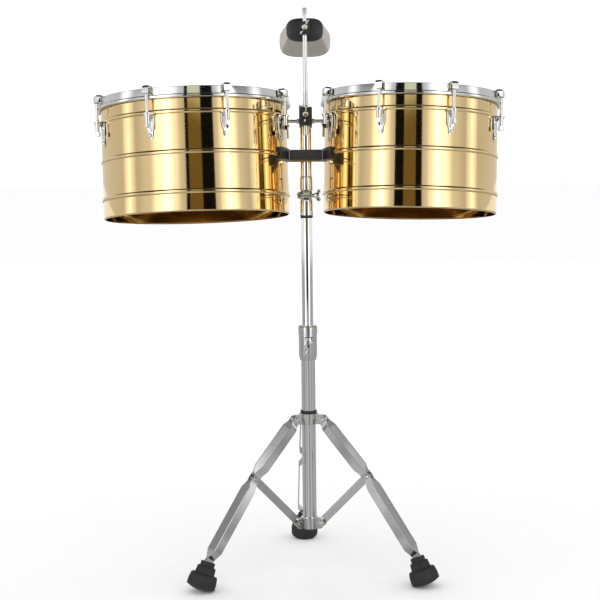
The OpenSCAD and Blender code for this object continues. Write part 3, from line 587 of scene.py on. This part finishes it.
def cowbell():
    """The open bell with its folded rim, and the cap that closes its small end."""
    low, high = local_box("cowbell_body", MAST)
    end_low = local_box("cowbell_end", MAST)[0]
    front, length = end_low.y, high.y - end_low.y
    height = (low.z + high.z) / 2
    shares = (0.03, 0.25, 0.5, 0.75, 0.985)
    outside = [bell_loop(s, 0, length, front, height) for s in shares]
    rim = [bell_loop(s, inset * MM, length, front, height)
           for s, inset in ((0.995, 0.25), (1, 0.9), (0.995, 1.55))]
    inside = [bell_loop(s, BELL_WALL, length, front, height) for s in reversed(shares)]
    loops = outside + rim + inside
    verts, faces = lofted(loops)
    count = len(loops[0])
    faces = faces[1:-1]
    last = (len(loops) - 1) * count
    faces += [(j, last + j, last + (j + 1) % count, (j + 1) % count) for j in range(count)]
    piece("folded_cowbell", moved((verts, faces), MAST), "cowbell_body", ["cowbell_body"], 35)
    cap = [bell_loop(s, inset * MM, length, front, height)
           for s, inset in ((0.0, 1.2), (0.003, 0.4), (0.008, 0), (0.0215, 0))]
    piece("cowbell_cap", moved(lofted(cap), MAST), "cowbell_end", ["cowbell_end"], 35)


def bell_rod():
    """The accessory rod: a bar with a slimmer neck inside its ridged tip."""
    low, high = local_box("bell_rod", MAST)
    radius = (high.x - low.x) / 2
    place = MAST @ Matrix.Translation(((low.x + high.x) / 2, (low.y + high.y) / 2, low.z))
    length = high.z - low.z
    edge = 1 * MM
    neck, neck_top = TIP_RADIUS - 0.3 * MM, length - 4 * MM
    profile = [(POLE, 0)] + arc(radius - edge, edge, edge, -90, 0, 5)
    profile += [(radius, length - ROD_TIP - 0.5 * MM), (neck, length - ROD_TIP)]
    profile += [(neck, neck_top), (POLE, neck_top)]
    parts = [revolved(profile, 64), knurled_tip(length)]
    piece("bell_rod_bar", moved(joined(parts), place), "bell_rod", ["bell_rod"], 35)


def knurled_tip(top):
    """The rod's end, with straight ridges all round."""
    ridges = 22
    # (distance below the top, taper, groove depth) in millimetres
    rings = ((24, 0.3, 0), (23.6, 0, 0.35), (1.6, 0, 0.35), (0.4, 1.1, 0.1), (0, 1.5, 0))
    loops = []
    for drop, shrink, depth in rings:
        loop = []
        for i in range(4 * ridges):
            turn = 2 * math.pi * i / (4 * ridges)
            radius = TIP_RADIUS - shrink * MM - (depth * MM if i % 4 > 1 else 0)
            loop.append((radius * math.cos(turn), radius * math.sin(turn), top - drop * MM))
        loops.append(loop)
    return lofted(loops)


# ---------- feet ----------
def foot(leg):
    """The stepped rubber foot, flattened where it stands on the floor."""
    node = f"leg_{leg}_foot"
    hinge = Vector(JOINTS[f"leg_{leg}_hinge"]["pos_m"])
    bottom = middle(node)
    out = Vector((bottom.x - hinge.x, bottom.y - hinge.y, 0)).normalized()
    lean = math.radians(FOOT_LEAN)
    down = out * math.sin(lean) - Vector((0, 0, math.cos(lean)))
    across = Vector((0, 0, 1)).cross(out).normalized()
    place = placed(bottom, across, down.cross(across), down)
    low, high = local_box(node, place)
    place = place @ Matrix.Translation(((low.x + high.x) / 2, (low.y + high.y) / 2, low.z))
    centre = FOOT_LENGTH - FOOT_DOME
    edge = centre + math.sqrt(FOOT_DOME * FOOT_DOME - FOOT_RADIUS * FOOT_RADIUS)
    start = math.degrees(math.atan2(edge - centre, FOOT_RADIUS))
    profile = [(0.01, 0)] + arc(13, 1.5, 1.5, -90, 0, 5) + arc(15.3, 8.6, 0.8, 180, 100, 4)
    profile += arc(16.8, 11.6, 2, -90, -10, 6) + arc(20.7, 23.4, 0.8, 180, 100, 4)
    profile += arc(23.6, 28.7, 3.7, -85, -15, 6) + [(FOOT_RADIUS, 38.5)]
    profile += arc(0, centre, FOOT_DOME, start, 89.9, 16)
    profile = [(r * MM, z * MM) for r, z in profile]
    piece("moulded_foot_" + leg, moved(revolved(profile, 96), place), node, [node], 50, 0, True)


# ---------- CAD nodes with softened edges ----------
EDGES = {
    0.8: ("tuning_hooks",),
    0.5: ("rod_block", "bell_clamp", "height_clamp", "leg_collar", "spreader_hub", "tilter_block",
          "tilter_fork", "clamp_key", "shell_brackets", "crossbar"),
    0.3: ("crossbar_strap", "crossbar_saddle", "tuning_nuts", "tilter_bolt", "tilter_ring", "block_bolt",
          "carrier_bolts", "stabiliser_rods", "collar_ring", "collar_pins", "hub_pins", "rod_collar",
          "lug_screws", "mast_tube", "height_post", "lower_tube", "tube_plug", "clamp_bushing",
          "flesh_hoops")
         + tuple(f"leg_{leg}_{kind}" for leg in LEGS for kind in ("strips", "rivets", "liners"))
         + tuple("brace_" + leg for leg in LEGS),
}


def softened(node, radius):
    """A copy of a CAD node with its flat faces whole again and its edges rounded."""
    mesh = NODES[node].data.copy()
    mesh.name = "soft_" + node
    if "custom_normal" in mesh.attributes:
        mesh.attributes.remove(mesh.attributes["custom_normal"])
    tidy = bmesh.new()
    tidy.from_mesh(mesh)
    bmesh.ops.remove_doubles(tidy, verts=tidy.verts, dist=2e-6)
    bmesh.ops.dissolve_limit(tidy, angle_limit=math.radians(0.5), verts=tidy.verts, edges=tidy.edges)
    tidy.to_mesh(mesh)
    tidy.free()
    finished(mesh, "soft_" + node, node, [node], 32, radius * MM)


# ---------- studio ----------
def glow_ramp(tree, value, stops):
    """A colour along a 0 to 1 value, from (place, brightness or colour) stops."""
    ramp = tree.nodes.new("ShaderNodeValToRGB")
    ramp.color_ramp.interpolation = "EASE"
    elements = ramp.color_ramp.elements
    while len(elements) < len(stops):
        elements.new(0.5)
    for element, (place, glow) in zip(elements, stops):
        element.position = place
        element.color = (*glow, 1) if isinstance(glow, tuple) else (glow, glow, glow, 1)
    tree.links.new(value, ramp.inputs["Fac"])
    return ramp.outputs["Color"]


def unseen(obj):
    """Leaves a studio board to the reflections only."""
    obj.visible_camera = False
    obj.visible_diffuse = False
    obj.visible_shadow = False
    bpy.context.scene.collection.objects.link(obj)


def board(name, centre, width, height, power, axis="X", stops=None):
    """An upright studio board, with its glow graded along one axis, or dark without stops."""
    mesh = bpy.data.meshes.new(name)
    w, h = width / 2, height / 2
    mesh.from_pydata([(-w, 0, -h), (w, 0, -h), (w, 0, h), (-w, 0, h)], [], [(0, 1, 2, 3)])
    material, tree, principled = shader(name, (0.003, 0.003, 0.003), 0, 1)
    principled.inputs["Specular IOR Level"].default_value = 0
    if stops:
        place = tree.nodes.new("ShaderNodeTexCoord")
        split = tree.nodes.new("ShaderNodeSeparateXYZ")
        tree.links.new(place.outputs["Generated"], split.inputs["Vector"])
        glow = glow_ramp(tree, split.outputs[axis], stops)
        tree.links.new(glow, principled.inputs["Emission Color"])
        principled.inputs["Emission Strength"].default_value = power
    mesh.materials.append(material)
    obj = bpy.data.objects.new(name, mesh)
    obj.location = centre
    unseen(obj)


def ground_card():
    """What the tubes and legs reflect of the studio's floor: grey, in sectors round the stand."""
    mesh = bpy.data.meshes.new("ground_card")
    far, lift = 6, 0.002
    mesh.from_pydata([(-far, -far, lift), (far, -far, lift), (far, far, lift), (-far, far, lift)], [],
                     [(0, 1, 2, 3)])
    material, tree, principled = shader("ground_card", (0, 0, 0), 0, 1)
    principled.inputs["Specular IOR Level"].default_value = 0
    place = tree.nodes.new("ShaderNodeTexCoord")
    sector = tree.nodes.new("ShaderNodeTexGradient")
    sector.gradient_type = "RADIAL"
    tree.links.new(place.outputs["Object"], sector.inputs["Vector"])
    glow = glow_ramp(tree, sector.outputs["Fac"], GROUND_SECTORS)
    tree.links.new(glow, principled.inputs["Emission Color"])
    principled.inputs["Emission Strength"].default_value = 1
    mesh.materials.append(material)
    unseen(bpy.data.objects.new("ground_card", mesh))


def floor():
    """The plain pale floor."""
    mesh = bpy.data.meshes.new("studio_floor")
    far = 14
    mesh.from_pydata([(-far, -far, 0), (far, -far, 0), (far, far, 0), (-far, far, 0)], [], [(0, 1, 2, 3)])
    mesh.materials.append(coated("studio_floor", (0.95, 0.95, 0.95), (0.93, 0.93, 0.93), (0.7, 0.85),
                                 60, 0.0002))
    obj = bpy.data.objects.new("studio_floor", mesh)
    bpy.context.scene.collection.objects.link(obj)


def world():
    """White all round for the floor and the camera, and a studio's walls for what reflects."""
    sky = bpy.data.worlds.new("studio")
    bpy.context.scene.world = sky
    sky.use_nodes = True
    tree = sky.node_tree
    walls = tree.nodes["Background"]
    place = tree.nodes.new("ShaderNodeTexCoord")
    split = tree.nodes.new("ShaderNodeSeparateXYZ")
    round_about = tree.nodes.new("ShaderNodeTexGradient")
    round_about.gradient_type = "RADIAL"
    tree.links.new(place.outputs["Generated"], split.inputs["Vector"])
    tree.links.new(place.outputs["Generated"], round_about.inputs["Vector"])
    around = glow_ramp(tree, round_about.outputs["Fac"], WALL_SECTORS)
    height = glow_ramp(tree, split.outputs["Z"], WALL_HEIGHTS)
    both = tree.nodes.new("ShaderNodeMixRGB")
    both.blend_type = "MULTIPLY"
    both.inputs["Fac"].default_value = 1
    tree.links.new(around, both.inputs["Color1"])
    tree.links.new(height, both.inputs["Color2"])
    tree.links.new(both.outputs["Color"], walls.inputs["Color"])
    walls.inputs["Strength"].default_value = WALL_POWER
    white = tree.nodes.new("ShaderNodeBackground")
    white.inputs["Color"].default_value = (1, 1, 1, 1)
    white.inputs["Strength"].default_value = WHITE_POWER
    path = tree.nodes.new("ShaderNodeLightPath")
    choice = tree.nodes.new("ShaderNodeMixShader")
    tree.links.new(path.outputs["Is Glossy Ray"], choice.inputs["Fac"])
    tree.links.new(white.outputs["Background"], choice.inputs[1])
    tree.links.new(walls.outputs["Background"], choice.inputs[2])
    tree.links.new(choice.outputs["Shader"], tree.nodes["World Output"].inputs["Surface"])


def studio():
    floor()
    ground_card()
    world()
    board("softbox_left", (-1.25, -1.5, 1.15), *SOFTBOX_SIZE, SOFTBOX_POWER, "X", SOFTBOX_LEFT)
    board("softbox_right", (1.36, -1.5, 1.15), *SOFTBOX_SIZE, SOFTBOX_POWER, "X", SOFTBOX_RIGHT)
    board("dark_room", (0, -4.3, 1.5), 5.0, 4.5, 0)
    board("grey_panel", (0, -3.0, 1.6), 0.81, 2.4, 1, "Z", PANEL)
    bpy.context.scene.view_settings.view_transform = "Standard"


def camera():
    """In front of the stand, looking slightly down."""
    post = middle("lower_tube")
    level = math.cos(PITCH)
    look = Vector((math.sin(YAW) * level, math.cos(YAW) * level, -math.sin(PITCH)))
    right = look.cross(Vector((0, 0, 1))).normalized()
    up = right.cross(look)
    turned_right = right * math.cos(ROLL) + up * math.sin(ROLL)
    turned_up = up * math.cos(ROLL) - right * math.sin(ROLL)
    data = bpy.data.cameras.new("camera")
    data.sensor_width = SENSOR
    data.lens = LENS
    data.clip_end = 60
    obj = bpy.data.objects.new("camera", data)
    stand_point = (post.x + ASIDE, post.y - DISTANCE, HEIGHT)
    obj.matrix_world = placed(stand_point, turned_right, turned_up, -look)
    bpy.context.scene.collection.objects.link(obj)
    bpy.context.scene.camera = obj


# ---------- the whole ----------
camera()
studio()
for side in SIDES:
    shell(side)
    hoop(side)
    head(side)
    lugs(side)
wing_screws()
cowbell()
bell_rod()
for leg in LEGS:
    foot(leg)
for radius, names in EDGES.items():
    for node in names:
        softened(node, radius)
